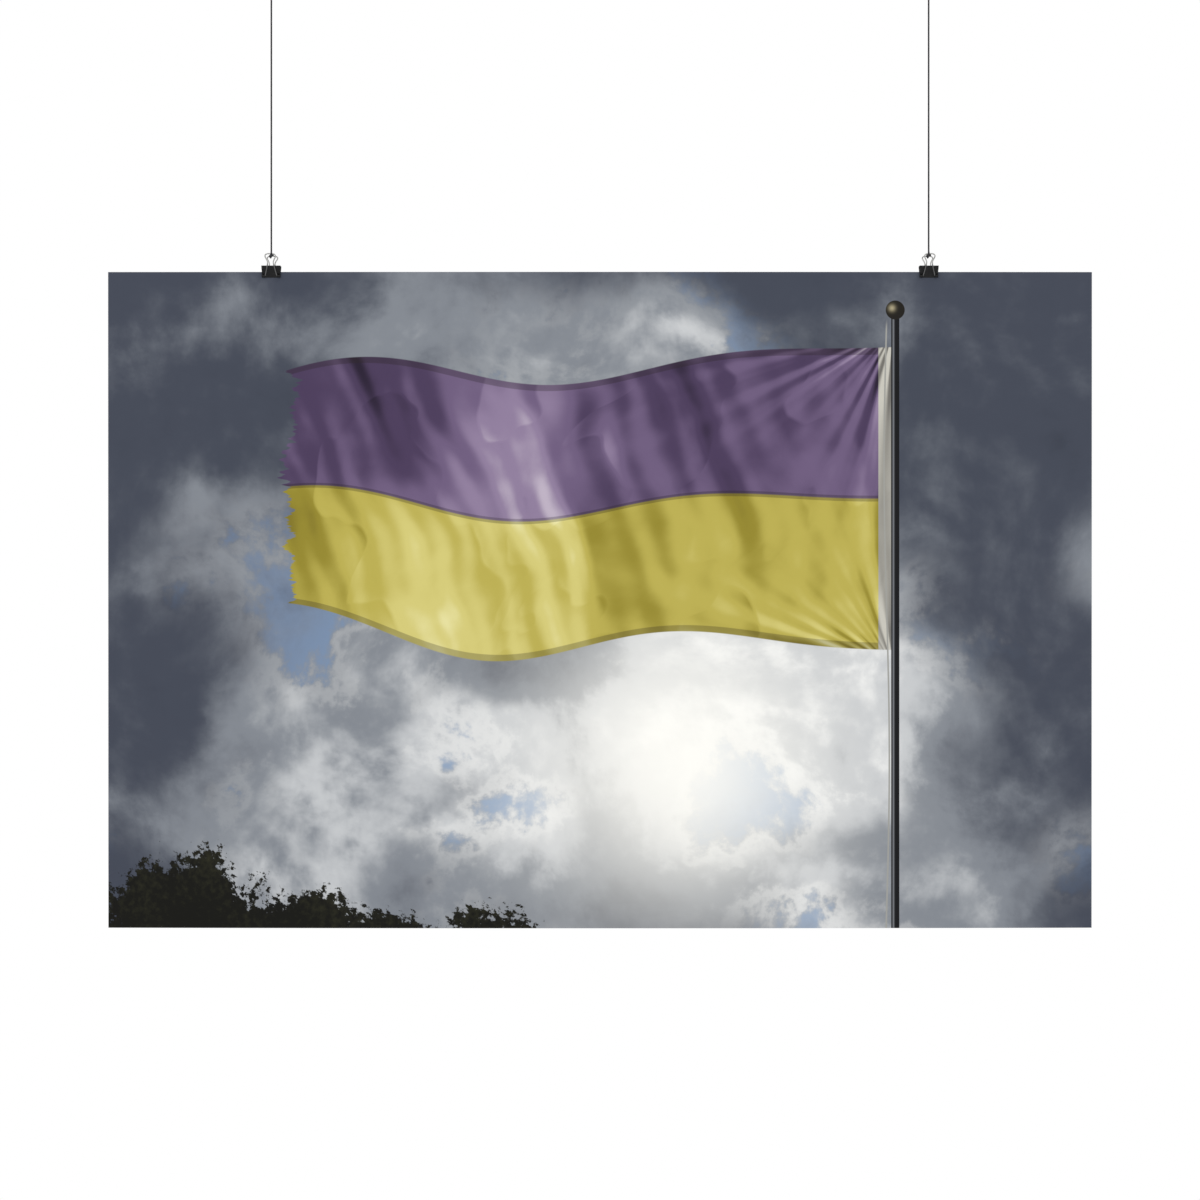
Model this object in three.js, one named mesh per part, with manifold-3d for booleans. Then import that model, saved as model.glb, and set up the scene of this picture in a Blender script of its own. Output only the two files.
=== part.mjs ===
// Hanging poster print: a landscape paper sheet, held along its top edge by two small spring clips,
// each hung on a thin cord that ends in a tied loop.
//
// Millimetres, +X along the sheet's width, +Y to its back, +Z up. The origin lies halfway between
// the two loops, at the height where their insides bear on whatever holds them up.

import * as THREE from "three";
import Module from "manifold-3d";
import { mergeVertices } from "three/addons/utils/BufferGeometryUtils.js";

// Driving dimensions
const GAP = 0.3;

const SHEET_WIDTH = 914.4;
const SHEET_HEIGHT = 609.6;
const SHEET_THICKNESS = 1.0;
const SHEET_TOP_Z = -285;
const SHEET_BOW = 2.0; // how far the middle of the bottom edge stands forward of the clips
const BOW_AT_TOP = 0.3; // the part of that bow which is left at the clamped top edge
const SHEET_COLUMNS = 25; // odd, so that the middle of the back is one flat strip
const SHEET_ROWS = 12;

const CLIP_X = 305.4; // each cord hangs this far from the middle
const CLIP_GRIP = 5.3; // how much of the sheet is inside the lips
const CLIP_HEIGHT = 10.9;
const SPINE_WIDTH = 17.6;
const LIP_WIDTH = 17.0;
const SPINE_DEPTH = 9.2;
const STEEL = 0.45;
const LIP_FACE_Y = SHEET_THICKNESS / 2 + GAP;
const BEND_RADIUS = 1.1;

const WIRE_RADIUS = 0.55;
const BARREL_BORE = WIRE_RADIUS + GAP;
const BARREL_RADIUS = BARREL_BORE + STEEL;
const BARREL_Y = 2.55; // the barrel's axis, out from the middle of the sheet
const BARREL_INNER_X = 5.9;
const HANDLE_LEAN = THREE.MathUtils.degToRad(19); // the handles lie back against the clip's sides
const HANDLE_REACH = 21.0; // from the barrel's axis to the middle of the finger ring's top wire

const CORD_RADIUS = 0.75;
const CORD_STEP = 4;
const CORD_SIDES = 8;
const KNOT_RADII = new THREE.Vector3(2.4, 1.6, 1.4); // a knot is longest across the cord
const KNOT_TILT = { left: 37, right: 24 }; // degrees by which its right end is drawn up
const KNOT_HALF_HEIGHT = 1.9;
const KNOT_DROP = 0.5; // the lower knot's middle hangs this far below the finger rings' top wires
const LOOP_KNOT_Z = -20;
const LOOP_RADIUS = 4.4;
const TURN_X = { // how far each turn of a tie lies to the right of its cord
  left: { front: 1.1, back: -1.8 },
  right: { front: -1.0, back: 0.2 },
};

// Worked out from them
const LIPS_Z = SHEET_TOP_Z - CLIP_GRIP;
const RING_TOP_Y = BARREL_Y + HANDLE_REACH * Math.sin(HANDLE_LEAN);
const RING_TOP_Z = BARREL_RADIUS + HANDLE_REACH * Math.cos(HANDLE_LEAN); // above the lips
const TURN_RADIUS = WIRE_RADIUS + GAP + CORD_RADIUS; // the cord's turn round a ring's wire

const finishes = {
  print: { color: 0x7d8084, roughness: 0.55, metalness: 0.0 },
  clip: { color: 0x161618, roughness: 0.4, metalness: 0.3 },
  wire: { color: 0xc9cacc, roughness: 0.2, metalness: 1.0 },
  cord: { color: 0x3a3b3d, roughness: 0.9, metalness: 0.0 },
};

const wasm = await Module();
wasm.setup();

function material(name) {
  return new THREE.MeshStandardMaterial(finishes[name]);
}

function named(name, geometry, finish) {
  const mesh = new THREE.Mesh(geometry, material(finish));
  mesh.name = name;
  return mesh;
}

function toManifold(geometry) {
  const bare = geometry.clone();
  bare.deleteAttribute("normal");
  bare.deleteAttribute("uv");
  const merged = mergeVertices(bare, 1e-4);
  const mesh = new wasm.Mesh({
    numProp: 3,
    vertProperties: new Float32Array(merged.attributes.position.array),
    triVerts: new Uint32Array(merged.index.array),
  });
  return new wasm.Manifold(mesh);
}

function joined(geometries) {
  const whole = geometries.map(toManifold).reduce((sum, next) => sum.add(next));
  const mesh = whole.getMesh();
  const geometry = new THREE.BufferGeometry();
  geometry.setAttribute("position", new THREE.BufferAttribute(mesh.vertProperties, 3));
  geometry.setIndex(new THREE.BufferAttribute(mesh.triVerts, 1));
  geometry.computeVertexNormals();
  return geometry;
}

function tube(path, radius, steps) {
  const section = new THREE.Shape();
  section.absarc(0, 0, radius, 0, 2 * Math.PI);
  return new THREE.ExtrudeGeometry(section, {
    steps,
    extrudePath: path,
    curveSegments: CORD_SIDES / 2,
    bevelEnabled: false,
  });
}

function smoothPath(points) {
  return new THREE.CatmullRomCurve3(points, false, "centripetal");
}

// The print

function bowOf(x, depthBelowTop) {
  const across = 1 - (x / CLIP_X) ** 2;
  const down = BOW_AT_TOP + (1 - BOW_AT_TOP) * (depthBelowTop / SHEET_HEIGHT);
  return -SHEET_BOW * across * down;
}

function printSheet() {
  const geometry = new THREE.BoxGeometry(
    SHEET_WIDTH, SHEET_THICKNESS, SHEET_HEIGHT, SHEET_COLUMNS, 1, SHEET_ROWS,
  );
  const position = geometry.attributes.position;
  for (let i = 0; i < position.count; i += 1) {
    const depthBelowTop = SHEET_HEIGHT / 2 - position.getZ(i);
    position.setY(i, position.getY(i) + bowOf(position.getX(i), depthBelowTop));
  }
  const mesh = named("print_sheet", geometry, "print");
  mesh.position.z = SHEET_TOP_Z - SHEET_HEIGHT / 2;
  return mesh;
}

// The clips

// A Y-Z section drawn in the shape's plane, extruded along X from one x to another.
function extrudedAlongX(section, fromX, toX) {
  const geometry = new THREE.ExtrudeGeometry(section, {
    depth: toX - fromX,
    curveSegments: 8,
    bevelEnabled: false,
  });
  const axes = new THREE.Matrix4().makeBasis(
    new THREE.Vector3(0, 1, 0), new THREE.Vector3(0, 0, 1), new THREE.Vector3(1, 0, 0),
  );
  return geometry.applyMatrix4(axes).translate(fromX, 0, 0);
}

// One strip of spring steel: up the front side, over the spine and down the back side.
function stripSection() {
  const half = SPINE_DEPTH / 2;
  const across = STEEL * 1.05; // the sides lean, so they are cut a little wider along Y
  const lean = (half - LIP_FACE_Y - across) / CLIP_HEIGHT;
  const underSpine = CLIP_HEIGHT - STEEL;
  const innerCorner = LIP_FACE_Y + lean * underSpine;
  const section = new THREE.Shape();
  section.moveTo(-LIP_FACE_Y, 0);
  section.lineTo(-innerCorner, underSpine);
  section.lineTo(innerCorner, underSpine);
  section.lineTo(LIP_FACE_Y, 0);
  section.lineTo(LIP_FACE_Y + across, 0);
  section.lineTo(half - lean * BEND_RADIUS, CLIP_HEIGHT - BEND_RADIUS);
  section.quadraticCurveTo(half, CLIP_HEIGHT, half - BEND_RADIUS, CLIP_HEIGHT);
  section.lineTo(BEND_RADIUS - half, CLIP_HEIGHT);
  section.quadraticCurveTo(-half, CLIP_HEIGHT, lean * BEND_RADIUS - half, CLIP_HEIGHT - BEND_RADIUS);
  section.lineTo(-LIP_FACE_Y - across, 0);
  section.closePath();
  return section;
}

// The lip rolled into a tube that holds one end of a handle's wire.
function barrelSection(centreY) {
  const section = new THREE.Shape();
  section.absarc(centreY, BARREL_RADIUS, BARREL_RADIUS, 0, 2 * Math.PI);
  const bore = new THREE.Path();
  bore.absarc(centreY, BARREL_RADIUS, BARREL_BORE, 0, 2 * Math.PI);
  section.holes.push(bore);
  return section;
}

function narrowTowardsLips(geometry) {
  const position = geometry.attributes.position;
  for (let i = 0; i < position.count; i += 1) {
    const up = position.getZ(i) / CLIP_HEIGHT;
    const width = LIP_WIDTH + (SPINE_WIDTH - LIP_WIDTH) * up;
    position.setX(i, (position.getX(i) * width) / SPINE_WIDTH);
  }
  return geometry;
}

function clipBody(side) {
  const end = SPINE_WIDTH / 2;
  const pieces = [extrudedAlongX(stripSection(), -end, end)];
  for (const centreY of [-BARREL_Y, BARREL_Y]) {
    pieces.push(extrudedAlongX(barrelSection(centreY), -end, -BARREL_INNER_X));
    pieces.push(extrudedAlongX(barrelSection(centreY), BARREL_INNER_X, end));
  }
  return named(`clip_body_${side}`, narrowTowardsLips(joined(pieces)), "clip");
}

// Half of a handle, as distances [from its middle line, up from the barrel's axis]: the end in the
// barrel, the leg, the neck and the finger ring.
const HALF_HANDLE = [
  [7.7, 0],
  [6.7, 0],
  [5.8, 0.1],
  [5.3, 0.7],
  [5.05, 1.6],
  [4.55, 3.6],
  [3.75, 6.8],
  [3.05, 10.0],
  [2.65, 12.6],
  [2.85, 14.0],
  [3.6, 15.7],
  [4.5, 17.5],
  [4.9, 18.8],
  [4.35, 20.0],
  [2.9, 20.8],
  [1.3, HANDLE_REACH],
];

function handle(side, face) {
  const outward = face === "front" ? -1 : 1;
  const place = ([across, up]) => new THREE.Vector3(
    across,
    outward * (BARREL_Y + up * Math.sin(HANDLE_LEAN)),
    BARREL_RADIUS + up * Math.cos(HANDLE_LEAN),
  );
  const right = HALF_HANDLE.map(place);
  const left = HALF_HANDLE.map(([across, up]) => place([-across, up])).reverse();
  const wire = tube(smoothPath([...right, ...left]), WIRE_RADIUS, 60);
  return named(`handle_${face}_${side}`, wire, "wire");
}

// The cords

function knot(side, height) {
  return new THREE.SphereGeometry(1, 14, 10)
    .rotateX(Math.PI / 2)
    .scale(...KNOT_RADII)
    .rotateY(THREE.MathUtils.degToRad(-KNOT_TILT[side]))
    .translate(0, 0, height);
}

// One turn of the tie: out of the knot, round a finger ring's top wire and back into the knot.
function tieTurn(outward, x) {
  const strand = CORD_RADIUS + 0.1; // the two strands leave the knot side by side
  const turn = [
    [0.9, strand - KNOT_DROP],
    [5.0, 1.25],
    [RING_TOP_Y - 1.4, TURN_RADIUS],
    [RING_TOP_Y, TURN_RADIUS],
    [RING_TOP_Y + TURN_RADIUS * Math.SQRT1_2, TURN_RADIUS * Math.SQRT1_2],
    [RING_TOP_Y + TURN_RADIUS, 0],
    [RING_TOP_Y + TURN_RADIUS * Math.SQRT1_2, -TURN_RADIUS * Math.SQRT1_2],
    [RING_TOP_Y, -TURN_RADIUS],
    [RING_TOP_Y - 1.4, -TURN_RADIUS],
    [5.0, -1.4],
    [0.9, -strand - KNOT_DROP],
  ];
  const points = turn.map(([out, up]) => (
    new THREE.Vector3((x * out) / RING_TOP_Y, outward * out, up)
  ));
  return tube(smoothPath(points), CORD_RADIUS, 36);
}

function tie(side) {
  const { front, back } = TURN_X[side];
  const geometry = joined([knot(side, -KNOT_DROP), tieTurn(-1, front), tieTurn(1, back)]);
  const mesh = named(`tie_${side}`, geometry, "cord");
  mesh.position.z = LIPS_Z + RING_TOP_Z;
  return mesh;
}

function topLoop(side) {
  const strand = CORD_RADIUS + 0.1;
  const arcCentreZ = CORD_RADIUS - LOOP_RADIUS;
  const points = [new THREE.Vector3(strand, 0, LOOP_KNOT_Z + 0.9)];
  points.push(new THREE.Vector3(2.3, 0, -13));
  for (let degrees = -20; degrees <= 200; degrees += 20) {
    const angle = THREE.MathUtils.degToRad(degrees);
    const x = LOOP_RADIUS * Math.cos(angle);
    points.push(new THREE.Vector3(x, 0, arcCentreZ + LOOP_RADIUS * Math.sin(angle)));
  }
  points.push(new THREE.Vector3(-2.3, 0, -13));
  points.push(new THREE.Vector3(-strand, 0, LOOP_KNOT_Z + 0.9));
  const loop = tube(smoothPath(points), CORD_RADIUS, 36);
  return named(`loop_${side}`, joined([knot(side, LOOP_KNOT_Z), loop]), "cord");
}

function cord(side) {
  const bottom = LIPS_Z + RING_TOP_Z - KNOT_DROP + KNOT_HALF_HEIGHT + GAP;
  const top = LOOP_KNOT_Z - KNOT_HALF_HEIGHT - GAP;
  const path = new THREE.LineCurve3(new THREE.Vector3(0, 0, bottom), new THREE.Vector3(0, 0, top));
  const steps = Math.round((top - bottom) / CORD_STEP);
  return named(`cord_${side}`, tube(path, CORD_RADIUS, steps), "cord");
}

// The whole object

function clip(side) {
  const group = new THREE.Group();
  group.add(clipBody(side), handle(side, "front"), handle(side, "back"));
  group.position.z = LIPS_Z;
  return group;
}

function hanger(side) {
  const group = new THREE.Group();
  group.add(clip(side), tie(side), cord(side), topLoop(side));
  group.position.x = side === "left" ? -CLIP_X : CLIP_X;
  return group;
}

const group = new THREE.Group();
group.add(printSheet(), hanger("left"), hanger("right"));

export default group;
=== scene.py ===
"""A landscape poster print that hangs from two cords.

Each cord is tied to the wire handles of a small spring clip, and the two clips hold the sheet by its top
edge. Shapes are worked out in millimetres in the part's own frame, and become metres as meshes are made.
"""
import math

import bmesh
import bpy
from mathutils import Matrix, Vector


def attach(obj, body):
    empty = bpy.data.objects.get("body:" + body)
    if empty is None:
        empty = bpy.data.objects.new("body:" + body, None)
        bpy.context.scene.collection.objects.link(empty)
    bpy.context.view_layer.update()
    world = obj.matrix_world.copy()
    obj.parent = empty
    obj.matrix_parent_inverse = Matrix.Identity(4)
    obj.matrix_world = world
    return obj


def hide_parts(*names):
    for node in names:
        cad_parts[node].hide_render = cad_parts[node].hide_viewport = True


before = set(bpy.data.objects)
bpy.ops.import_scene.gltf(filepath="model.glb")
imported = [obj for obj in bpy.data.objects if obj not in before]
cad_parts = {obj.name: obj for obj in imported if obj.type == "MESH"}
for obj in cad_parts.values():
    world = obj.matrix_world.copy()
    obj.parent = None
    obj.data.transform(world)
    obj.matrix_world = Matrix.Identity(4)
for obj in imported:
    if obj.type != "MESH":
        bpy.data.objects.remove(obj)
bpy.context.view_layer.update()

MM = 0.001
SIDES = {"left": -1, "right": 1}

# The print
SHEET_WIDTH = 914.4
SHEET_HEIGHT = 609.6
SHEET_TOP_Z = -285.0
SHEET_BOW = 2.0
BOW_AT_TOP = 0.3
PAPER = 0.3
COLUMNS = 96
ROWS = 64

# The clips
CLIP_X = 305.4
GRIP_DEPTH = 5.3
LIPS_Z = SHEET_TOP_Z - GRIP_DEPTH
CLIP_HEIGHT = 10.9
SPINE_WIDTH = 17.6
LIP_WIDTH = 17.0
SPINE_DEPTH = 9.2
STEEL = 0.45
ROLLED_STEEL = STEEL * 0.94
BEND_RADIUS = 1.1
CUT_EDGE_ROUNDING = 0.09
WIRE_RADIUS = 0.55
WIRE_SIDES = 16
BARREL_RADIUS = 1.3
BARREL_Y = 2.55
BARREL_INNER_X = 5.9
HANDLE_LEAN = math.radians(19)
HANDLE_REACH = 21.0
RING_TOP_Y = BARREL_Y + HANDLE_REACH * math.sin(HANDLE_LEAN)
RING_TOP_Z = LIPS_Z + BARREL_RADIUS + HANDLE_REACH * math.cos(HANDLE_LEAN)

# The cords
CORD_RADIUS = 0.75
CORD_SIDES = 18
STRANDS = 3
STRAND_RELIEF = 0.12
CORD_LAY = 5.2
KNOT_HALF_HEIGHT = 1.9
KNOT_DROP = 0.5
CORD_GAP = 0.3
JOIN = 0.15
CORD_BOTTOM_Z = RING_TOP_Z - KNOT_DROP + KNOT_HALF_HEIGHT + CORD_GAP
LOOP_KNOT_Z = -20.0
CORD_TOP_Z = LOOP_KNOT_Z - KNOT_HALF_HEIGHT - CORD_GAP
LOOP_RADIUS = 4.4
TURN_GAP = 0.12
TURN_RADIUS = WIRE_RADIUS + TURN_GAP + CORD_RADIUS
TURN_X = {"left": (1.1, -1.8), "right": (-1.0, 0.2)}
KNOT_TILT = {"left": math.radians(37), "right": math.radians(24)}

# How far apart the points of a path are
KNOT_SPACING = 0.3
TURN_SPACING = 0.35
STRAIGHT_SPACING = 0.4
WIRE_SPACING = 0.45

# Shading is smooth except across edges that turn by more degrees than this
SHARP = 40
SHARP_ON_YARN = 80

# Edges of the clips that turn by more degrees than this are rounded off
CUT_EDGE_TURN = 55

# The studio, in metres but for the sensor. Each softbox has a place and a power in watts.
CAMERA_DISTANCE = 2.5
FRAME_WIDTH = 1.1151
SENSOR = 36.0
FLOOR_Z = -2.0
FLOOR_RADIUS = 3.5
FLOOR_CORNERS = 96
SOFTBOX_SIZE = 1.4
SOFTBOX_AIM = Vector((0, 0, -0.55))
SOFTBOXES = {
    "key light": ((-1.6, -2.2, 1.2), 6),
    "fill light": ((1.8, -2.0, 0.4), 3),
}


# ---------------------------------------------------------------------------- shells and pieces

def merged(shells):
    """One shell out of several. A shell is a list of vertices in millimetres and a list of faces."""
    vertices = []
    faces = []
    for more_vertices, more_faces in shells:
        start = len(vertices)
        vertices += more_vertices
        faces += [tuple(start + corner for corner in face) for face in more_faces]
    return vertices, faces


def moved(shell, offset):
    vertices, faces = shell
    return [vertex + offset for vertex in vertices], faces


def add_piece(name, shell, material, replaced, sharp=SHARP):
    """A named piece of the object, which stands for the replaced nodes."""
    vertices, faces = shell
    mesh = bpy.data.meshes.new(name)
    mesh.from_pydata([vertex * MM for vertex in vertices], [], faces)
    editable = bmesh.new()
    editable.from_mesh(mesh)
    bmesh.ops.recalc_face_normals(editable, faces=editable.faces)
    editable.to_mesh(mesh)
    editable.free()
    mesh.shade_smooth()
    mesh.set_sharp_from_angle(angle=math.radians(sharp))
    mesh.materials.append(material)
    piece = bpy.data.objects.new(name, mesh)
    bpy.context.scene.collection.objects.link(piece)
    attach(piece, "root")
    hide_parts(*replaced)
    return piece


def arc(centre, radius, from_degrees, to_degrees, steps):
    """Points along a round bend, as pairs of numbers."""
    points = []
    for i in range(steps + 1):
        angle = math.radians(from_degrees + (to_degrees - from_degrees) * i / steps)
        points.append((centre[0] + radius * math.cos(angle), centre[1] + radius * math.sin(angle)))
    return points


def mirrored(line):
    """The same pairs on the other side of the middle."""
    return [(-across, up) for across, up in line]


def catmull_rom(p0, p1, p2, p3, share):
    """A point that share of the way from p1 to p2, on the centripetal curve through all four."""
    knots = [0.0]
    for start, end in ((p0, p1), (p1, p2), (p2, p3)):
        knots.append(knots[-1] + (end - start).length ** 0.5)
    here = knots[1] + (knots[2] - knots[1]) * share

    def between(a, b, first, last):
        return a.lerp(b, (here - knots[first]) / (knots[last] - knots[first]))

    low = between(p0, p1, 0, 1)
    middle = between(p1, p2, 1, 2)
    high = between(p2, p3, 2, 3)
    return between(between(low, middle, 0, 2), between(middle, high, 1, 3), 1, 2)


def smooth_path(points, spacing):
    """Points about that far apart, on a smooth curve through the given ones."""
    before = points[0] * 2 - points[1]
    after = points[-1] * 2 - points[-2]
    padded = [before, *points, after]
    path = [points[0]]
    for p0, p1, p2, p3 in zip(padded, padded[1:], padded[2:], padded[3:]):
        steps = max(1, round((p2 - p1).length / spacing))
        path += [catmull_rom(p0, p1, p2, p3, (i + 1) / steps) for i in range(steps)]
    return path


def tube(path, radius_at, sides):
    """A closed tube along the path. radius_at(turn, distance) is its radius at an angle round the path."""
    vertices = []
    distance = 0.0
    across = (path[1] - path[0]).orthogonal()
    for i, point in enumerate(path):
        ahead = path[min(i + 1, len(path) - 1)]
        behind = path[max(i - 1, 0)]
        tangent = (ahead - behind).normalized()
        across = (across - tangent * across.dot(tangent)).normalized()
        over = tangent.cross(across)
        if i > 0:
            distance += (point - behind).length
        for k in range(sides):
            turn = math.tau * k / sides
            outward = across * math.cos(turn) + over * math.sin(turn)
            vertices.append(point + outward * radius_at(turn, distance))
    faces = [tuple(range(sides)), tuple(range(len(vertices) - sides, len(vertices)))]
    for ring in range(len(path) - 1):
        for k in range(sides):
            here = ring * sides + k
            beside = ring * sides + (k + 1) % sides
            faces.append((here, beside, beside + sides, here + sides))
    return vertices, faces


# ---------------------------------------------------------------------------- cords

def laid_cord(path):
    """Cord of three strands laid round each other, along the path."""
    def radius_at(turn, distance):
        phase = turn - math.tau * distance / CORD_LAY
        strand = abs(math.cos(STRANDS / 2 * phase))
        return CORD_RADIUS * (1 - STRAND_RELIEF / 2 + STRAND_RELIEF * strand)

    return tube(path, radius_at, CORD_SIDES)


def knot(side, height):
    """Wraps of the cord round itself, drawn tight, lying across the cord with the right end higher.
    The first and last part of a turn tuck in towards the middle."""
    wraps = 3.5
    rise = 1.1
    radius = 0.68
    tucked_share = 0.35
    tucked_turn = 0.25
    steps = 42
    tilted = Matrix.Rotation(math.radians(90) - KNOT_TILT[side], 3, "Y")
    points = []
    for i in range(steps + 1):
        turn = wraps * i / steps
        clear_of_ends = min(turn, wraps - turn, tucked_turn) / tucked_turn
        reach = radius * (tucked_share + (1 - tucked_share) * clear_of_ends)
        angle = math.tau * turn
        along = rise * (turn - wraps / 2)
        points.append(tilted @ Vector((reach * math.cos(angle), reach * math.sin(angle), along)))
    return moved(laid_cord(smooth_path(points, KNOT_SPACING)), Vector((0, 0, height)))


def upright_line(x, from_z, to_z, spacing):
    """Points spaced evenly up or down."""
    count = round(abs(to_z - from_z) / spacing)
    return [Vector((x, 0, from_z + (to_z - from_z) * i / count)) for i in range(count + 1)]


def stem(from_z, to_z):
    """The cord between a knot's middle and the straight stretch."""
    return laid_cord(upright_line(0, from_z, to_z, KNOT_SPACING))


def cord_path(side):
    """The straight stretch of cord, from the tie's knot up to the knot under the top loop."""
    return upright_line(SIDES[side] * CLIP_X, CORD_BOTTOM_Z, CORD_TOP_Z, STRAIGHT_SPACING)


def tie_turn(outward, x):
    """Out of the knot, round a finger ring's top wire and back into the knot."""
    bend = TURN_RADIUS * math.sqrt(0.5)
    turn = [
        (0.6, CORD_RADIUS - KNOT_DROP), (5.0, 1.15),
        (RING_TOP_Y - 1.4, TURN_RADIUS), (RING_TOP_Y, TURN_RADIUS), (RING_TOP_Y + bend, bend),
        (RING_TOP_Y + TURN_RADIUS, 0.0),
        (RING_TOP_Y + bend, -bend), (RING_TOP_Y, -TURN_RADIUS), (RING_TOP_Y - 1.4, -TURN_RADIUS),
        (5.0, -1.3), (0.6, -CORD_RADIUS - KNOT_DROP),
    ]
    points = [Vector((x * out / RING_TOP_Y, outward * out, up)) for out, up in turn]
    return laid_cord(smooth_path(points, TURN_SPACING))


def tie(side):
    """The cord's lower end: a knot, and a turn round the top wire of each finger ring."""
    front_x, back_x = TURN_X[side]
    turns = [tie_turn(-1, front_x), tie_turn(1, back_x)]
    upward = stem(-KNOT_DROP, CORD_BOTTOM_Z - RING_TOP_Z + JOIN)
    whole = merged([knot(side, -KNOT_DROP), upward, *turns])
    return moved(whole, Vector((SIDES[side] * CLIP_X, 0, RING_TOP_Z)))


def top_loop(side):
    """The cord's upper end: a knot and the loop that hangs on whatever holds the print up."""
    leg = [(0.6, LOOP_KNOT_Z + 0.9), (2.3, -13)]
    crown = arc((0, CORD_RADIUS - LOOP_RADIUS), LOOP_RADIUS, -20, 200, 11)
    outline = [*leg, *crown, *reversed(mirrored(leg))]
    loop = laid_cord(smooth_path([Vector((x, 0, z)) for x, z in outline], TURN_SPACING))
    downward = stem(LOOP_KNOT_Z, CORD_TOP_Z - JOIN)
    whole = merged([knot(side, LOOP_KNOT_Z), downward, loop])
    return moved(whole, Vector((SIDES[side] * CLIP_X, 0, 0)))


# ---------------------------------------------------------------------------- clips

def width_share(height):
    """The clip narrows towards its lips."""
    share = max(0.0, height / CLIP_HEIGHT)
    return (LIP_WIDTH + (SPINE_WIDTH - LIP_WIDTH) * share) / SPINE_WIDTH


def bent_strip(line, from_x, to_x, thickness):
    """Sheet steel bent along a line of (y, z) points and cut off square at two places along X."""
    half = thickness / 2
    profile = []
    for i, (y, z) in enumerate(line):
        ahead = Vector(line[min(i + 1, len(line) - 1)])
        behind = Vector(line[max(i - 1, 0)])
        along = (ahead - behind).normalized()
        profile.append(((y - along.y * half, z + along.x * half), (y + along.y * half, z - along.x * half)))
    vertices = []
    for x in (from_x, to_x):
        for (y0, z0), (y1, z1) in profile:
            vertices.append(Vector((x * width_share(z0), y0, z0)))
            vertices.append(Vector((x * width_share(z1), y1, z1)))
    last = 2 * len(line)
    faces = [(0, 1, last + 1, last), (last - 2, last - 1, 2 * last - 1, 2 * last - 2)]
    for here in range(0, last - 2, 2):
        faces.append((here, here + 2, last + here + 2, last + here))
        faces.append((here + 1, here + 3, last + here + 3, last + here + 1))
        faces.append((here, here + 1, here + 3, here + 2))
        faces.append((last + here, last + here + 1, last + here + 3, last + here + 2))
    return vertices, faces


def side_wall():
    """Half of the clip's section: from the middle of the spine, round its bend and down to the lip."""
    bend = BEND_RADIUS - STEEL / 2
    corner = (SPINE_DEPTH / 2 - BEND_RADIUS, CLIP_HEIGHT - BEND_RADIUS)
    lip = PAPER / 2 + STEEL / 2
    return [
        (0.0, CLIP_HEIGHT - STEEL / 2),
        *arc(corner, bend, 90, -18, 9),
        (lip + 1.75, 5.4),
        (lip + 0.42, 1.9),
        (lip + 0.12, 1.1),
        (lip, 0.6),
        (lip, 0.0),
    ]


def barrel_roll():
    """The end of the lip, turned out and rolled round the handle's wire."""
    radius = BARREL_RADIUS - STEEL / 2
    lip = PAPER / 2 + STEEL / 2
    return [
        (lip + 0.02, 1.0),
        (lip + 0.05, 0.62),
        (lip + 0.22, 0.34),
        (lip + 0.6, STEEL / 2),
        *arc((BARREL_Y, BARREL_RADIUS), radius, -90, 205, 24),
    ]


def clip_body():
    end = SPINE_WIDTH / 2
    wall = side_wall()
    whole_section = [*reversed(mirrored(wall)), *wall[1:]]
    shells = [bent_strip(whole_section, -end, end, STEEL)]
    for roll in (barrel_roll(), mirrored(barrel_roll())):
        shells.append(bent_strip(roll, -end, -BARREL_INNER_X, ROLLED_STEEL))
        shells.append(bent_strip(roll, BARREL_INNER_X, end, ROLLED_STEEL))
    return merged(shells)


def round_cut_edges(piece):
    bevel = piece.modifiers.new("Rounded edges", "BEVEL")
    bevel.width = CUT_EDGE_ROUNDING * MM
    bevel.segments = 2
    bevel.limit_method = "ANGLE"
    bevel.angle_limit = math.radians(CUT_EDGE_TURN)


# Half of a handle: distances from its middle line and up from the barrel's axis.
HALF_HANDLE = [
    (7.7, 0), (6.7, 0), (5.8, 0.1), (5.3, 0.7), (5.05, 1.6), (4.55, 3.6), (3.75, 6.8), (3.05, 10.0),
    (2.65, 12.6), (2.85, 14.0), (3.6, 15.7), (4.5, 17.5), (4.9, 18.8), (4.35, 20.0), (2.9, 20.8),
    (1.3, HANDLE_REACH),
]


def handle(outward):
    """A wire handle: an end in each barrel, two legs and a finger ring, open to one side of the sheet."""
    def place(across, up):
        y = outward * (BARREL_Y + up * math.sin(HANDLE_LEAN))
        return Vector((across, y, BARREL_RADIUS + up * math.cos(HANDLE_LEAN)))

    right = [place(across, up) for across, up in HALF_HANDLE]
    left = [place(-across, up) for across, up in reversed(HALF_HANDLE)]
    path = smooth_path([*right, *left], WIRE_SPACING)
    return tube(path, lambda turn, distance: WIRE_RADIUS, WIRE_SIDES)


# ---------------------------------------------------------------------------- the sheet

def bow(x, depth_below_top):
    """How far the hanging sheet stands from its plane: its middle comes forward, more so lower down."""
    down = BOW_AT_TOP + (1 - BOW_AT_TOP) * depth_below_top / SHEET_HEIGHT
    return -SHEET_BOW * (1 - (x / CLIP_X) ** 2) * down


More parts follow.
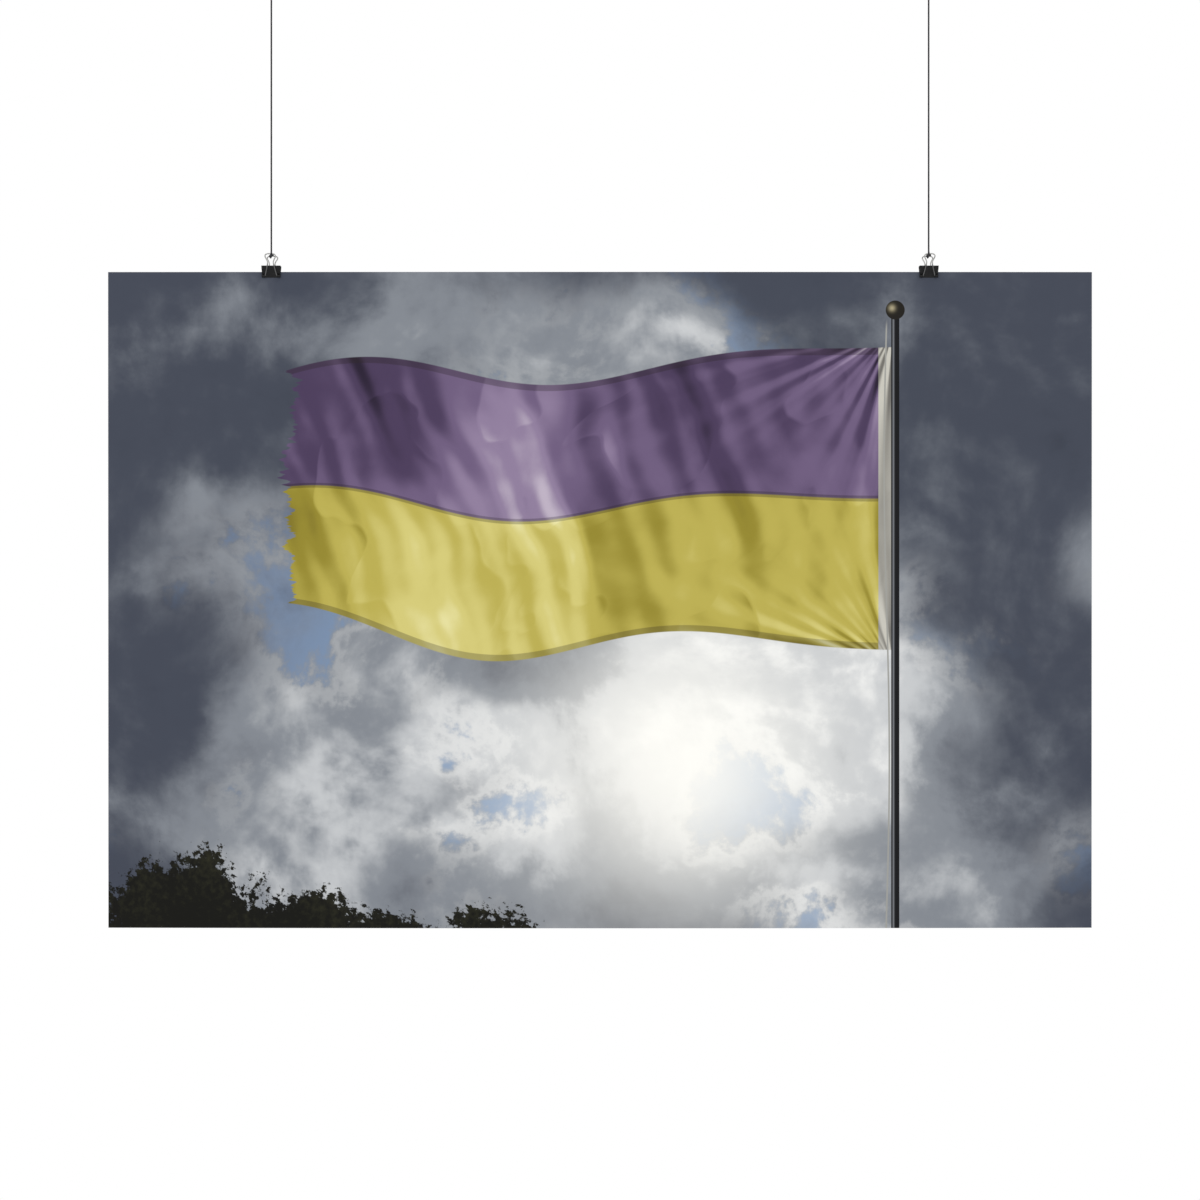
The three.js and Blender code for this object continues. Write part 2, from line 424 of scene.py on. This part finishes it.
def sheet_shell():
    """Front, back and cut edges. The faces of the front come first."""
    vertices = []
    for face_y in (-PAPER / 2, PAPER / 2):
        for row in range(ROWS + 1):
            depth = SHEET_HEIGHT * row / ROWS
            for column in range(COLUMNS + 1):
                x = SHEET_WIDTH * (column / COLUMNS - 0.5)
                vertices.append(Vector((x, bow(x, depth) + face_y, SHEET_TOP_Z - depth)))
    back = len(vertices) // 2
    front_faces = []
    for row in range(ROWS):
        for column in range(COLUMNS):
            corner = row * (COLUMNS + 1) + column
            below = corner + COLUMNS + 1
            front_faces.append((corner, below, below + 1, corner + 1))
    back_faces = [tuple(back + i for i in reversed(face)) for face in front_faces]
    rim = list(range(COLUMNS + 1))
    rim += [row * (COLUMNS + 1) + COLUMNS for row in range(1, ROWS + 1)]
    rim += [ROWS * (COLUMNS + 1) + column for column in range(COLUMNS - 1, -1, -1)]
    rim += [row * (COLUMNS + 1) for row in range(ROWS - 1, 0, -1)]
    edge_faces = [(a, b, back + b, back + a) for a, b in zip(rim, rim[1:] + rim[:1])]
    return vertices, front_faces + back_faces + edge_faces


# ---------------------------------------------------------------------------- shader fields

# Blender's noise stays near 0.5. This widens it and brings its middle to 0.
NOISE_GAIN = 3.2

# The Mix node's sockets for colours come after those for numbers and vectors.
MIX_AMOUNT_INPUT = 0
MIX_BASE_INPUT = 6
MIX_TOP_INPUT = 7
MIX_COLOUR_OUTPUT = 2


class Field:
    """A number or colour that varies over a surface: the output of a shader node."""

    def __init__(self, socket):
        self.socket = socket

    def __add__(self, other):
        return calculate("ADD", self, other)

    def __sub__(self, other):
        return calculate("SUBTRACT", self, other)

    def __rsub__(self, other):
        return calculate("SUBTRACT", other, self)

    def __mul__(self, other):
        return calculate("MULTIPLY", self, other)

    def __truediv__(self, other):
        return calculate("DIVIDE", self, other)

    def __pow__(self, other):
        return calculate("POWER", self, other)

    __radd__ = __add__
    __rmul__ = __mul__


def tree_of(*values):
    return next(value.socket.id_data for value in values if isinstance(value, Field))


def feed(socket, value):
    """Links a field to a node's input, or sets a constant there."""
    if isinstance(value, Field):
        socket.id_data.links.new(value.socket, socket)
    elif socket.type == "RGBA":
        socket.default_value = (*value, 1.0)
    else:
        socket.default_value = value


def calculate(operation, *values):
    node = tree_of(*values).nodes.new("ShaderNodeMath")
    node.operation = operation
    for socket, value in zip(node.inputs, values):
        feed(socket, value)
    return Field(node.outputs[0])


def step(field, low, high):
    """0 at low and 1 at high, with a smooth rise between them. High may be the lower number."""
    node = tree_of(field).nodes.new("ShaderNodeMapRange")
    node.interpolation_type = "SMOOTHSTEP"
    feed(node.inputs["Value"], field)
    feed(node.inputs["From Min"], low)
    feed(node.inputs["From Max"], high)
    return Field(node.outputs["Result"])


def clamp(field):
    return calculate("MINIMUM", calculate("MAXIMUM", field, 0.0), 1.0)


def hypot(a, b):
    return (a * a + b * b) ** 0.5


def fade(field, rate):
    """1 where the field is 0, fading as it grows."""
    return calculate("EXPONENT", field * -rate)


def gauss(field, width):
    """1 where the field is 0, next to nothing two widths away on either side."""
    scaled = field * (1.0 / width)
    return fade(scaled * scaled, 1.0)


def noise(x, y, scale, detail=2.0, roughness=0.5, seed=0.0):
    """Cloudy noise about 0, mostly between -1 and 1."""
    tree = tree_of(x, y)
    place = tree.nodes.new("ShaderNodeCombineXYZ")
    feed(place.inputs["X"], x + seed)
    feed(place.inputs["Y"], y + seed * 0.37)
    node = tree.nodes.new("ShaderNodeTexNoise")
    node.noise_dimensions = "2D"
    tree.links.new(place.outputs[0], node.inputs["Vector"])
    node.inputs["Scale"].default_value = scale
    node.inputs["Detail"].default_value = detail
    node.inputs["Roughness"].default_value = roughness
    return calculate("MULTIPLY_ADD", Field(node.outputs["Fac"]), NOISE_GAIN, -NOISE_GAIN / 2)


def blend(base, top, amount, kind="MIX"):
    node = tree_of(base, top, amount).nodes.new("ShaderNodeMix")
    node.data_type = "RGBA"
    node.blend_type = kind
    feed(node.inputs[MIX_AMOUNT_INPUT], amount)
    feed(node.inputs[MIX_BASE_INPUT], base)
    feed(node.inputs[MIX_TOP_INPUT], top)
    return Field(node.outputs[MIX_COLOUR_OUTPUT])


def ramp(field, stops):
    """A colour for each value of the field, through (place, colour) stops."""
    node = tree_of(field).nodes.new("ShaderNodeValToRGB")
    line = node.color_ramp
    line.interpolation = "EASE"
    while len(line.elements) < len(stops):
        line.elements.new(0.5)
    for element, (place, colour) in zip(line.elements, stops):
        element.position = place
        element.color = (*colour, 1.0)
    feed(node.inputs[0], field)
    return Field(node.outputs[0])


def tone(r, g, b):
    """A colour as it looks on a screen, from 0 to 1, turned into the linear colour that a shader takes."""
    return tuple(c / 12.92 if c <= 0.04045 else ((c + 0.055) / 1.055) ** 2.4 for c in (r, g, b))


# ---------------------------------------------------------------------------- the printed picture
# A generic picture: a flag in two bands with a frayed end, flying from an upright pole before broken
# cloud that is lit from behind. It is 1 high and 1.5 wide, with its middle at 0, 0.

GLOW = Vector((0.12, -0.25))
POLE_X = 0.45
POLE_TOP = 0.43
POLE_HALF_WIDTH = 0.0062
BALL_RADIUS = 0.015

FLAG_TOP = 0.385
FLAG_BOTTOM = -0.075
FLAG_LENGTH = 0.92
TOP_DROOP = 0.055
BOTTOM_RISE = 0.030
WAVES = 1.35
WAVE_HEIGHT = 0.034
WAVE_LAG = 1.1
HEADING_WIDTH = 0.020
HEM_WIDTH = 0.011
SEAM_HALF_WIDTH = 0.005

# Folds fan out from points this far above and below the flag, at the pole.
PAST_CORNER = 0.03

# Tree crowns, as (middle x, middle y, half width, half height).
TREES = [
    (-0.64, -0.50, 0.130, 0.105), (-0.47, -0.53, 0.110, 0.085), (-0.33, -0.55, 0.090, 0.075),
    (-0.17, -0.56, 0.110, 0.080),
]


def painted_sky(x, y):
    """Broken cloud with the light behind it: lit cloud, darker banks further out, and gaps of blue."""
    drifted_x = x + noise(x, y, 2.7, 1.0, seed=151.0) * 0.030
    drifted_y = y + noise(x, y, 2.7, 1.0, seed=157.0) * 0.030
    to_glow_x = GLOW.x - x
    to_glow_y = GLOW.y - y
    away = hypot(to_glow_x, to_glow_y)
    glow = gauss(away, 0.50)

    billow = noise(drifted_x, drifted_y, 4.0, 6.0, 0.52, seed=85.0)
    tufts = noise(drifted_x, drifted_y, 12.0, 7.0, 0.58, seed=94.0)
    wisps = noise(drifted_x, drifted_y, 32.0, 5.0, 0.60, seed=99.0)

    # The side of each billow that faces the light is lighter.
    lit_x = drifted_x + to_glow_x / (away + 0.05) * 0.030
    lit_y = drifted_y + to_glow_y / (away + 0.05) * 0.030
    relief = billow - noise(lit_x, lit_y, 4.0, 6.0, 0.52, seed=85.0)

    banks = noise(drifted_x * 0.8, drifted_y * 1.2, 2.4, 1.5, seed=61.0)
    veils = noise(drifted_x * 0.9, drifted_y * 1.3, 3.2, 1.5, seed=67.0)
    dark = step(banks * 1.0 + away * 1.1 + billow * 0.35 + tufts * 0.17 + wisps * 0.06, 0.10, 1.10)
    thin = step(veils * 0.9 + billow * 0.40 + tufts * 0.32 + wisps * 0.12, -0.30, 0.60)
    cloud_light = glow * 0.36 + 0.54 + tufts * 0.075 + wisps * 0.03 + relief * 0.34
    thin_light = glow * 0.18 + 0.41 + tufts * 0.035 + relief * 0.18
    dark_light = glow * 0.12 + 0.25 + billow * 0.02 + tufts * 0.010 + relief * 0.14
    light = cloud_light + (thin_light - cloud_light) * thin
    light = light + (dark_light - light) * dark
    painted = ramp(clamp(light), [
        (0.00, tone(0.10, 0.12, 0.16)),
        (0.25, tone(0.26, 0.28, 0.33)),
        (0.50, tone(0.51, 0.53, 0.56)),
        (0.75, tone(0.77, 0.78, 0.79)),
        (1.00, tone(0.98, 0.98, 0.97)),
    ])

    openings = noise(drifted_x * 0.8, drifted_y * 1.3, 3.6, 1.0, seed=73.0)
    gaps = openings * 1.3 - 0.62 + billow * 0.40 + tufts * 0.60 + wisps * 0.35
    blue = blend(tone(0.40, 0.49, 0.62), tone(0.60, 0.69, 0.80), glow)
    painted = blend(painted, tone(0.97, 0.97, 0.96), gauss(gaps + 0.12, 0.28) * (1.0 - dark) * glow * 0.6)
    painted = blend(painted, blue, step(gaps, 0.02, 0.50) * (1.0 - dark) * 0.9)
    return blend(painted, tone(1.0, 0.995, 0.97), gauss(away, 0.20) * 0.9)


def tree_cover(x, y):
    """1 in the middle of a crown, 0 on its edge and less outside, with neighbours run together."""
    cover = None
    for middle_x, middle_y, half_width, half_height in TREES:
        from_middle = hypot((x - middle_x) * (1.0 / half_width), (y - middle_y) * (1.0 / half_height))
        crown = 1.0 - from_middle
        cover = crown if cover is None else calculate("SMOOTH_MAX", cover, crown, 0.5)
    return cover


def painted_trees(x, y, behind):
    """Treetops in silhouette along the bottom edge."""
    crowns = tree_cover(x, y)
    boughs = noise(x, y, 14.0, 2.0, seed=161.0)
    leaves = noise(x + y * 0.2, y, 88.0, 5.0, 0.70, seed=163.0)
    cover = crowns + boughs * 0.26 + leaves * 0.34
    lit = clamp(noise(x, y, 105.0, 3.0, 0.6, seed=167.0) * 0.5 + boughs * 0.25 - crowns * 0.4 + 0.15)
    colour = blend(tone(0.06, 0.06, 0.04), tone(0.17, 0.17, 0.11), lit)
    return blend(behind, colour, step(cover, -0.03, 0.05))


def painted_pole(x, y, behind):
    """A dark pole with light down one side, a ball on top and a slack line beside it."""
    left_of_pole = POLE_X - x
    below_top = POLE_TOP - y
    across = left_of_pole * (1.0 / POLE_HALF_WIDTH)
    pole = step(calculate("ABSOLUTE", across), 1.05, 0.95) * step(below_top, -0.002, 0.0)
    sheen = gauss(across - 0.45, 0.22)
    colour = blend(tone(0.07, 0.075, 0.085), tone(0.46, 0.47, 0.49), sheen)
    sway = calculate("SINE", below_top * 7.0) * 0.004 + 0.013
    line = step(calculate("ABSOLUTE", left_of_pole - sway), 0.0016, 0.0008) * step(below_top, 0.0, 0.02)
    painted = blend(behind, tone(0.62, 0.62, 0.60), line)
    painted = blend(painted, colour, pole)
    ball = hypot(left_of_pole, below_top + BALL_RADIUS * 0.8)
    shine = gauss(hypot(left_of_pole - 0.005, below_top + BALL_RADIUS), 0.005)
    ball_colour = blend(tone(0.12, 0.11, 0.09), tone(0.66, 0.62, 0.50), shine)
    return blend(painted, ball_colour, step(ball, BALL_RADIUS, BALL_RADIUS - 0.001))


def flag_place(x, y):
    """How far out from the pole and how far up a spot lies on the flag, both 0 to 1."""
    out = (POLE_X - POLE_HALF_WIDTH - x) * (1.0 / FLAG_LENGTH)
    swing = step(out, -0.10, 0.80) * WAVE_HEIGHT
    phase = out * (WAVES * math.tau)
    top = calculate("SINE", phase + 0.3) * swing + out * -TOP_DROOP + FLAG_TOP
    bottom = calculate("SINE", phase + 0.3 - WAVE_LAG) * swing * 1.2 + out * BOTTOM_RISE + FLAG_BOTTOM
    return out, (y - bottom) / (top - bottom)


def flag_light(x, y, out, up):
    """How much more light than usual each bit of the flag lets through, about 0: broad waves that lean
    back, folds drawn from both corners at the pole, and drapes, wrinkles and crinkle between them."""
    bend = noise(x, y, 2.6, 2.0, seed=143.0)
    phase = out * (WAVES * math.tau) - (1.0 - up) * WAVE_LAG + bend * 0.9
    loose = step(out, 0.0, 0.45)

    def folds_from(corner_y):
        """Noise that changes fast round the corner and slowly away from it, so it fans out."""
        def height(px, py):
            run_x = px - POLE_X
            run_y = py - corner_y
            direction = calculate("ARCTAN2", run_y, run_x * -1.0)
            reach = hypot(run_x, run_y)
            return noise(direction * 1.5, reach * 0.05, 4.4, 0.4, seed=108.0) * fade(reach, 4.5)

        return height

    def drapes(px, py):
        return noise(px * 1.3 + py * 0.45 + bend * 0.06, py * 0.30, 4.6, 2.0, seed=112.0)

    def wrinkles(px, py):
        line = noise(px * 0.9 - py * 0.3 + bend * 0.05, py * 0.8, 6.5, 2.0, 0.45, seed=117.0)
        return calculate("ABSOLUTE", line)

    def slope(height, dx, dy):
        """How much the folds rise over a short way, which is how much they face the light."""
        return height(x + dx, y + dy) - height(x, y)

    crinkle = noise(x + bend * 0.1, y * 0.8, 14.0, 4.0, 0.6, seed=121.0)
    return (
        calculate("COSINE", phase + 0.9) * loose * 0.20
        + calculate("COSINE", phase * 2.0 + 2.1) * loose * 0.08
        + slope(folds_from(FLAG_TOP + PAST_CORNER), 0.005, 0.006) * 1.3
        + slope(folds_from(FLAG_BOTTOM - PAST_CORNER), 0.005, -0.006) * 0.9
        + slope(drapes, 0.010, 0.002) * (loose * 0.6 + 0.35)
        + slope(wrinkles, 0.005, 0.005) * 0.7
        + crinkle * 0.035
    )


def gold_cloth(light):
    return ramp(light, [
        (0.0, tone(0.34, 0.29, 0.07)),
        (0.3, tone(0.58, 0.53, 0.18)),
        (0.55, tone(0.73, 0.68, 0.32)),
        (0.8, tone(0.83, 0.79, 0.47)),
        (1.0, tone(0.93, 0.91, 0.68)),
    ])


def plum_cloth(light):
    return ramp(light, [
        (0.0, tone(0.15, 0.11, 0.19)),
        (0.3, tone(0.29, 0.23, 0.35)),
        (0.55, tone(0.43, 0.36, 0.49)),
        (0.8, tone(0.56, 0.49, 0.61)),
        (1.0, tone(0.74, 0.69, 0.76)),
    ])


def frayed_end(x, y, out):
    """1 on the cloth, and 0 past its worn end, where threads run out unevenly."""
    torn = noise(x * 0.3, y, 8.0, 3.0, 0.55, seed=131.0) * 0.032
    threads = noise(x * 0.05, y, 190.0, 1.0, seed=133.0) * 0.010
    return step(out + torn + threads, 1.002, 0.998)


def painted_flag(x, y, behind):
    """Gold below plum, lit from behind, flying to the left of the pole."""
    out, up = flag_place(x, y)
    catch = flag_light(x, y, out, up)
    near = gauss(hypot(x - GLOW.x, y - GLOW.y), 0.40)
    lit = clamp(catch + 0.44 + near * 0.26)
    cloth = blend(gold_cloth(lit), plum_cloth(lit), step(up, 0.497, 0.503))

    # Where the cloth lies double it lets less light through: at the hems and along the seam.
    height = FLAG_TOP - FLAG_BOTTOM
    from_edge = calculate("MINIMUM", up, 1.0 - up) * height
    from_seam = calculate("ABSOLUTE", up - 0.5) * height
    hems = step(from_edge, HEM_WIDTH, HEM_WIDTH - 0.001)
    seam = step(from_seam, SEAM_HALF_WIDTH, SEAM_HALF_WIDTH - 0.001)
    double = calculate("MAXIMUM", hems, seam)
    cloth = blend(cloth, tone(0.16, 0.12, 0.12), double * 0.42)
    heading = step(out * FLAG_LENGTH, HEADING_WIDTH, HEADING_WIDTH - 0.001)
    canvas = blend(tone(0.45, 0.44, 0.42), tone(0.78, 0.77, 0.73), clamp(catch + 0.6))
    cloth = blend(cloth, canvas, heading)

    inside = step(up, -0.002, 0.002) * step(up, 1.002, 0.998) * step(out, -0.001, 0.001)
    return blend(behind, cloth, inside * frayed_end(x, y, out))


def picture(x, y):
    painted = painted_sky(x, y)
    painted = painted_trees(x, y, painted)
    painted = painted_flag(x, y, painted)
    return painted_pole(x, y, painted)


# ---------------------------------------------------------------------------- materials

def new_material(name):
    """A material with a bare principled shader: its node tree and the shader."""
    material = bpy.data.materials.new(name)
    material.use_nodes = True
    tree = material.node_tree
    tree.nodes.clear()
    shader = tree.nodes.new("ShaderNodeBsdfPrincipled")
    output = tree.nodes.new("ShaderNodeOutputMaterial")
    tree.links.new(shader.outputs["BSDF"], output.inputs["Surface"])
    return material, tree, shader


def object_axes(tree):
    """The three coordinates of the row frame, in metres."""
    place = tree.nodes.new("ShaderNodeTexCoord")
    axes = tree.nodes.new("ShaderNodeSeparateXYZ")
    tree.links.new(place.outputs["Object"], axes.inputs[0])
    return [Field(socket) for socket in axes.outputs]


def solid_noise(tree, scale, detail, roughness=0.5):
    """Noise through the whole object, from 0 to 1. The scale is in cells a metre."""
    place = tree.nodes.new("ShaderNodeTexCoord")
    node = tree.nodes.new("ShaderNodeTexNoise")
    tree.links.new(place.outputs["Object"], node.inputs["Vector"])
    node.inputs["Scale"].default_value = scale
    node.inputs["Detail"].default_value = detail
    node.inputs["Roughness"].default_value = roughness
    return Field(node.outputs["Fac"])


def bump(tree, shader, height, distance, strength):
    """Roughens the surface by the height field; the distance is in millimetres."""
    node = tree.nodes.new("ShaderNodeBump")
    node.inputs["Distance"].default_value = distance * MM
    node.inputs["Strength"].default_value = strength
    feed(node.inputs["Height"], height)
    tree.links.new(node.outputs["Normal"], shader.inputs["Normal"])


def printed_face():
    """The picture in matt ink on the front of the paper."""
    material, tree, shader = new_material("printed face")
    x, _, z = object_axes(tree)
    height = SHEET_HEIGHT * MM
    middle_z = (SHEET_TOP_Z - SHEET_HEIGHT / 2) * MM
    ink = picture(x * (1.0 / height), (z - middle_z) * (1.0 / height))
    feed(shader.inputs["Base Color"], ink)
    grain = solid_noise(tree, 1400, 3.0)
    feed(shader.inputs["Roughness"], grain * 0.16 + 0.44)
    shader.inputs["Specular IOR Level"].default_value = 0.12
    bump(tree, shader, grain, 0.02, 0.15)
    return material


def bare_paper():
    """The uncoated white of the back and of the cut edges, with a faint mottle of fibres."""
    material, tree, shader = new_material("bare paper")
    fibres = solid_noise(tree, 900, 4.0, 0.6)
    clouding = solid_noise(tree, 14, 3.0)
    light = clamp(fibres * 0.5 + clouding * 0.5)
    feed(shader.inputs["Base Color"], blend(tone(0.90, 0.90, 0.885), tone(0.96, 0.96, 0.95), light))
    feed(shader.inputs["Roughness"], fibres * 0.2 + 0.7)
    shader.inputs["Specular IOR Level"].default_value = 0.2
    bump(tree, shader, fibres, 0.05, 0.25)
    return material


def black_enamel():
    """Baked black paint on the clips, slightly uneven, dusty in places."""
    material, tree, shader = new_material("black enamel")
    peel = solid_noise(tree, 900, 2.0)
    dust = step(solid_noise(tree, 260, 5.0, 0.65), 0.52, 0.80)
    feed(shader.inputs["Base Color"], blend(tone(0.055, 0.055, 0.06), tone(0.15, 0.15, 0.155), dust))
    feed(shader.inputs["Roughness"], dust * 0.25 + 0.34)
    shader.inputs["Specular IOR Level"].default_value = 0.22
    bump(tree, shader, peel, 0.03, 0.35)
    return material


def nickel_wire():
    """Nickel plate with fine drawing marks; painted shade darkens the legs beside the black sides."""
    material, tree, shader = new_material("nickel wire")
    z = object_axes(tree)[2]
    tarnish = step(solid_noise(tree, 340, 4.0, 0.6), 0.45, 0.75)
    marks = solid_noise(tree, 2400, 2.0)
    spine_z = (LIPS_Z + CLIP_HEIGHT) * MM
    # Painted shade on the legs: darker and rougher from a little above the top of the spine downwards.
    painted_leg_shade = step(z + tarnish * 0.5 * MM, spine_z + 3.0 * MM, spine_z - 0.8 * MM)
    plate = blend(tone(0.70, 0.70, 0.69), tone(0.56, 0.56, 0.55), tarnish)
    # The grey that the painted shade brings the plate down to on the legs.
    feed(shader.inputs["Base Color"], blend(plate, tone(0.40, 0.40, 0.40), painted_leg_shade))
    feed(shader.inputs["Roughness"], tarnish * 0.14 + marks * 0.08 + painted_leg_shade * 0.12 + 0.18)
    shader.inputs["Metallic"].default_value = 1.0
    bump(tree, shader, marks, 0.01, 0.2)
    return material


def charcoal_yarn():
    """Dyed polyester yarn: charcoal, fuzzy, with lighter single fibres."""
    material, tree, shader = new_material("charcoal yarn")
    fibres = solid_noise(tree, 5200, 3.0, 0.6)
    batches = solid_noise(tree, 120, 2.0)
    light = clamp(fibres * 0.75 + batches * 0.35 - 0.05)
    feed(shader.inputs["Base Color"], blend(tone(0.07, 0.07, 0.075), tone(0.25, 0.25, 0.26), light))
    feed(shader.inputs["Roughness"], fibres * 0.15 + 0.8)
    shader.inputs["Specular IOR Level"].default_value = 0.2
    shader.inputs["Sheen Weight"].default_value = 0.04
    bump(tree, shader, fibres, 0.08, 0.5)
    return material


# ---------------------------------------------------------------------------- studio

def add_camera():
    lens = bpy.data.cameras.new("camera")
    lens.sensor_width = SENSOR
    lens.lens = SENSOR * CAMERA_DISTANCE / FRAME_WIDTH
    camera = bpy.data.objects.new("camera", lens)
    camera.location = (0, -CAMERA_DISTANCE, (SHEET_TOP_Z - SHEET_HEIGHT / 2) * MM)
    camera.rotation_euler = (math.radians(90), 0, 0)
    bpy.context.scene.collection.objects.link(camera)
    bpy.context.scene.camera = camera


def add_world():
    """An even white all round."""
    world = bpy.data.worlds.new("white")
    world.use_nodes = True
    background = world.node_tree.nodes["Background"]
    background.inputs["Color"].default_value = (1, 1, 1, 1)
    background.inputs["Strength"].default_value = 1.0
    bpy.context.scene.world = world
    bpy.context.scene.view_settings.view_transform = "Standard"


def add_softbox(name, place, power):
    lamp = bpy.data.lights.new(name, "AREA")
    lamp.shape = "DISK"
    lamp.size = SOFTBOX_SIZE
    lamp.energy = power
    softbox = bpy.data.objects.new(name, lamp)
    softbox.location = place
    toward = SOFTBOX_AIM - Vector(place)
    softbox.rotation_euler = toward.to_track_quat("-Z", "Y").to_euler()
    bpy.context.scene.collection.objects.link(softbox)


def add_floor():
    """A pale floor well below the print, fading into the white at its rim."""
    vertices = [(0, 0, FLOOR_Z)]
    for i in range(FLOOR_CORNERS):
        angle = math.tau * i / FLOOR_CORNERS
        vertices.append((FLOOR_RADIUS * math.cos(angle), FLOOR_RADIUS * math.sin(angle), FLOOR_Z))
    faces = [(0, i + 1, (i + 1) % FLOOR_CORNERS + 1) for i in range(FLOOR_CORNERS)]
    mesh = bpy.data.meshes.new("floor")
    mesh.from_pydata(vertices, [], faces)
    material, tree, shader = new_material("pale floor")
    x, y, _ = object_axes(tree)
    rim = step(hypot(x, y), FLOOR_RADIUS * 0.35, FLOOR_RADIUS)
    feed(shader.inputs["Base Color"], blend(tone(0.90, 0.90, 0.90), (0.98, 0.98, 0.98), rim))
    shader.inputs["Roughness"].default_value = 0.9
    mesh.materials.append(material)
    floor = bpy.data.objects.new("floor", mesh)
    bpy.context.scene.collection.objects.link(floor)


# ---------------------------------------------------------------------------- the object

def add_cord(side, yarn):
    """One cord with its tie and its top loop."""
    def add_yarn(name, shell, replaced):
        return add_piece(f"{name}_{side}", shell, yarn, [f"{replaced}_{side}"], SHARP_ON_YARN)

    tied = add_yarn("knotted_tie", tie(side), "tie")
    loop = add_yarn("hanging_loop", top_loop(side), "loop")
    path = cord_path(side)
    cord = add_yarn("laid_cord", laid_cord(path), "cord")


def add_clip(side, enamel, nickel):
    centre = Vector((SIDES[side] * CLIP_X, 0, LIPS_Z))
    body = moved(clip_body(), centre)
    spring = add_piece(f"spring_clip_{side}", body, enamel, [f"clip_body_{side}"])
    round_cut_edges(spring)
    for face, outward in (("front", -1), ("back", 1)):
        wire = moved(handle(outward), centre)
        add_piece(f"wire_handle_{face}_{side}", wire, nickel, [f"handle_{face}_{side}"])
    return spring


def add_sheet():
    sheet = add_piece("paper_print", sheet_shell(), printed_face(), ["print_sheet"])
    sheet.data.materials.append(bare_paper())
    front_faces = COLUMNS * ROWS
    for face in sheet.data.polygons:
        face.material_index = 0 if face.index < front_faces else 1


add_camera()
yarn = charcoal_yarn()
for side in SIDES:
    add_cord(side, yarn)

enamel = black_enamel()
nickel = nickel_wire()
clips = [add_clip(side, enamel, nickel) for side in SIDES]
add_sheet()

add_world()
for name, (place, power) in SOFTBOXES.items():
    add_softbox(name, place, power)
add_floor()
